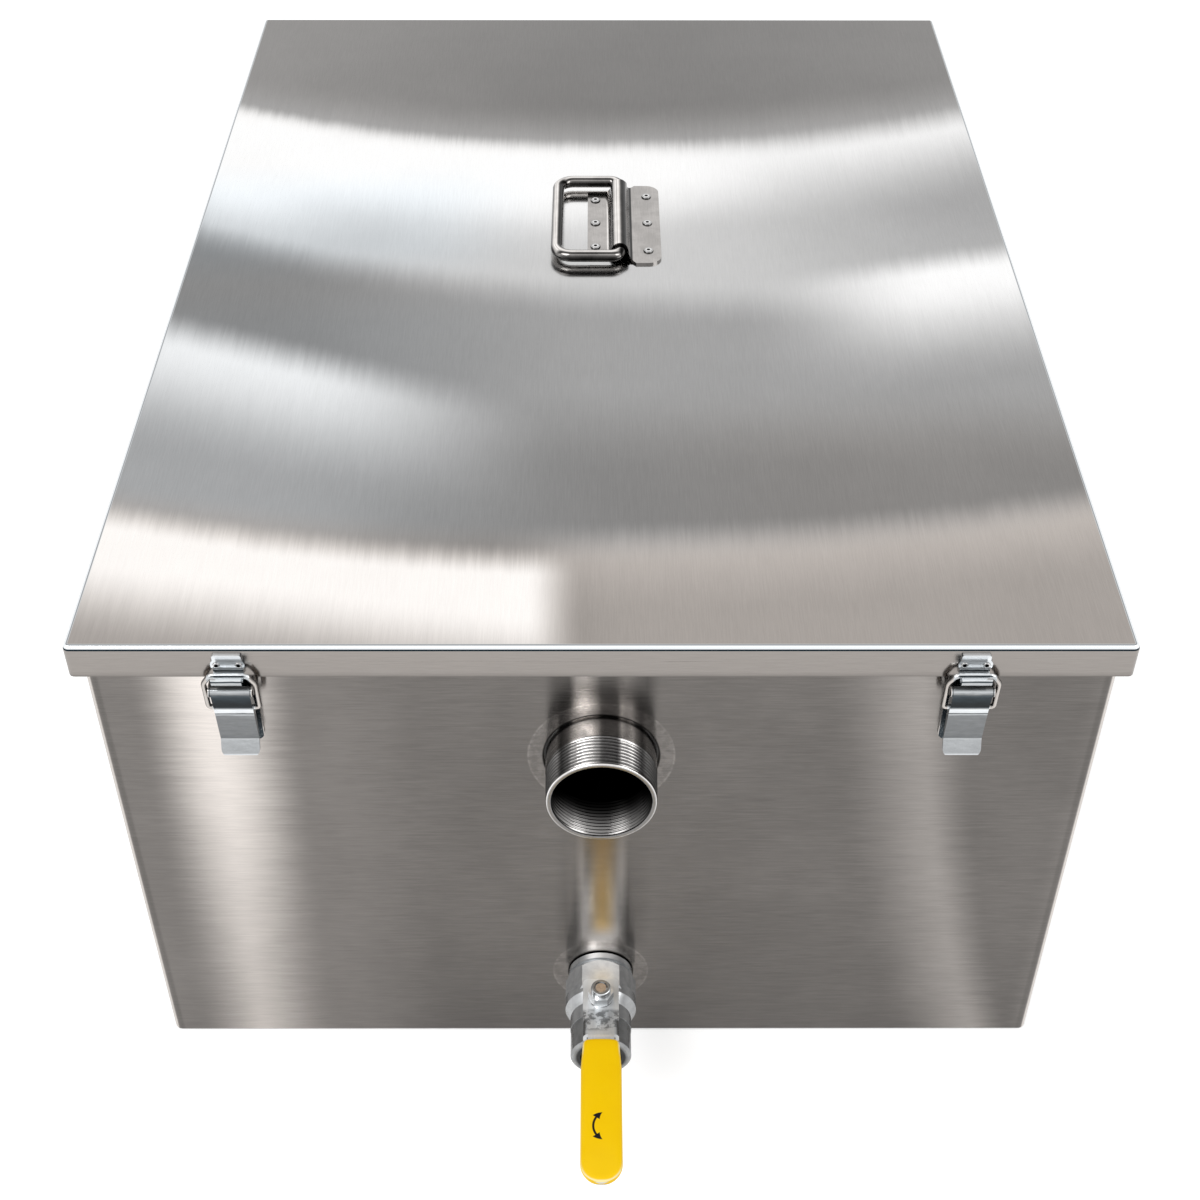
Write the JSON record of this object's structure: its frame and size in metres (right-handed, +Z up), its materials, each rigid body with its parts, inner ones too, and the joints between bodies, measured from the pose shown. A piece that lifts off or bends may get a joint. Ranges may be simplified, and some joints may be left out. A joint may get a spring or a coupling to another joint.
{
  "type": "grease trap",
  "caption": "Free-standing steel grease trap: box tank, clamped lid with folding handle, threaded pipe ends, strainer basket, baffles and a lever drain valve.",
  "frame": {"origin": "middle of the tank's underside, which rests on the floor", "axes": "+Z up, -Y out of the front wall with the outlet and the drain valve, +X to the right seen from there"},
  "size_m": [0.55, 0.9513, 0.3475],
  "materials": {
    "tank_steel": "brushed",
    "lid_steel": "brushed",
    "inner_steel": "mill finish",
    "pipe_steel": "turned and pickled",
    "valve_steel": "cast, blasted",
    "ball_steel": "polished",
    "stem_steel": "turned",
    "lever_steel": "satin",
    "handle_steel": "polished",
    "rivet_steel": "satin",
    "latch_steel": "bright zinc",
    "gasket_rubber": "matte",
    "seat_plastic": "matte",
    "sleeve_vinyl": "glossy dip coat"
  },
  "bodies": {
    "tank": {"tank": "tank_steel", "lid": "lid_steel", "lid_gasket": "gasket_rubber", "handle_bracket": "handle_steel", "handle_rivets": "rivet_steel", "inlet_nipple": "pipe_steel", "outlet_nipple": "pipe_steel", "outlet_dip_pipe": "pipe_steel", "drain_nipple": "pipe_steel", "valve_end_cap": "valve_steel", "valve_body": "valve_steel", "valve_seats": "seat_plastic", "stem_packing": "seat_plastic", "gland_nut": "stem_steel", "strainer_basket": "inner_steel", "basket_grips": "inner_steel", "basket_ledges": "inner_steel", "inlet_baffle": "inner_steel", "outlet_baffle": "inner_steel", "inlet_baffle_guides": "inner_steel", "outlet_baffle_guides": "inner_steel", "latch_pins": "latch_steel", "keeper_rivets": "rivet_steel", "keeper_front_left": "latch_steel", "latch_base_front_left": "latch_steel", "keeper_front_right": "latch_steel", "latch_base_front_right": "latch_steel", "keeper_rear_left": "latch_steel", "latch_base_rear_left": "latch_steel", "keeper_rear_right": "latch_steel", "latch_base_rear_right": "latch_steel"},
    "lid_handle": {"lid_handle": "handle_steel"},
    "valve_lever": {"valve_lever": "lever_steel", "lever_sleeve": "sleeve_vinyl", "lever_washer": "stem_steel", "lever_nut": "stem_steel", "valve_stem": "stem_steel", "valve_ball": "ball_steel"},
    "latch_lever_front_left": {"latch_lever_front_left": "latch_steel"},
    "latch_loop_front_left": {"latch_loop_front_left": "latch_steel"},
    "latch_lever_front_right": {"latch_lever_front_right": "latch_steel"},
    "latch_loop_front_right": {"latch_loop_front_right": "latch_steel"},
    "latch_lever_rear_left": {"latch_lever_rear_left": "latch_steel"},
    "latch_loop_rear_left": {"latch_loop_rear_left": "latch_steel"},
    "latch_lever_rear_right": {"latch_lever_rear_right": "latch_steel"},
    "latch_loop_rear_right": {"latch_loop_rear_right": "latch_steel"}
  },
  "joints": [
    {"name": "handle_hinge", "type": "hinge", "parent": "tank", "child": "lid_handle", "pos_m": [0.0132, 0.0443, 0.3418], "axis": [0, 1, 0], "range_deg": [0, 90]},
    {"name": "valve_turn", "type": "hinge", "parent": "tank", "child": "valve_lever", "pos_m": [0, -0.4125, 0.08485], "axis": [0, 0, 1], "range_deg": [-90, 0]},
    {"name": "latch_front_left_lever", "type": "hinge", "parent": "tank", "child": "latch_lever_front_left", "pos_m": [-0.1915, -0.38425, 0.309], "axis": [-1, 0, 0], "range_deg": [0, 100]},
    {"name": "latch_front_left_loop", "type": "hinge", "parent": "latch_lever_front_left", "child": "latch_loop_front_left", "pos_m": [-0.1915, -0.38225, 0.296], "axis": [-1, 0, 0], "range_deg": [-62, 0]},
    {"name": "latch_front_right_lever", "type": "hinge", "parent": "tank", "child": "latch_lever_front_right", "pos_m": [0.1915, -0.38425, 0.309], "axis": [-1, 0, 0], "range_deg": [0, 100]},
    {"name": "latch_front_right_loop", "type": "hinge", "parent": "latch_lever_front_right", "child": "latch_loop_front_right", "pos_m": [0.1915, -0.38225, 0.296], "axis": [-1, 0, 0], "range_deg": [-62, 0]},
    {"name": "latch_rear_left_lever", "type": "hinge", "parent": "tank", "child": "latch_lever_rear_left", "pos_m": [-0.1915, 0.38425, 0.309], "axis": [1, 0, 0], "range_deg": [0, 100]},
    {"name": "latch_rear_left_loop", "type": "hinge", "parent": "latch_lever_rear_left", "child": "latch_loop_rear_left", "pos_m": [-0.1915, 0.38225, 0.296], "axis": [1, 0, 0], "range_deg": [-62, 0]},
    {"name": "latch_rear_right_lever", "type": "hinge", "parent": "tank", "child": "latch_lever_rear_right", "pos_m": [0.1915, 0.38425, 0.309], "axis": [1, 0, 0], "range_deg": [0, 100]},
    {"name": "latch_rear_right_loop", "type": "hinge", "parent": "latch_lever_rear_right", "child": "latch_loop_rear_right", "pos_m": [0.1915, 0.38225, 0.296], "axis": [1, 0, 0], "range_deg": [-62, 0]}
  ],
  "couplings": [
    {"joint": "latch_front_left_loop", "follows": "latch_front_left_lever", "ratio": -0.62},
    {"joint": "latch_front_right_loop", "follows": "latch_front_right_lever", "ratio": -0.62},
    {"joint": "latch_rear_left_loop", "follows": "latch_rear_left_lever", "ratio": -0.62},
    {"joint": "latch_rear_right_loop", "follows": "latch_rear_right_lever", "ratio": -0.62}
  ]
}
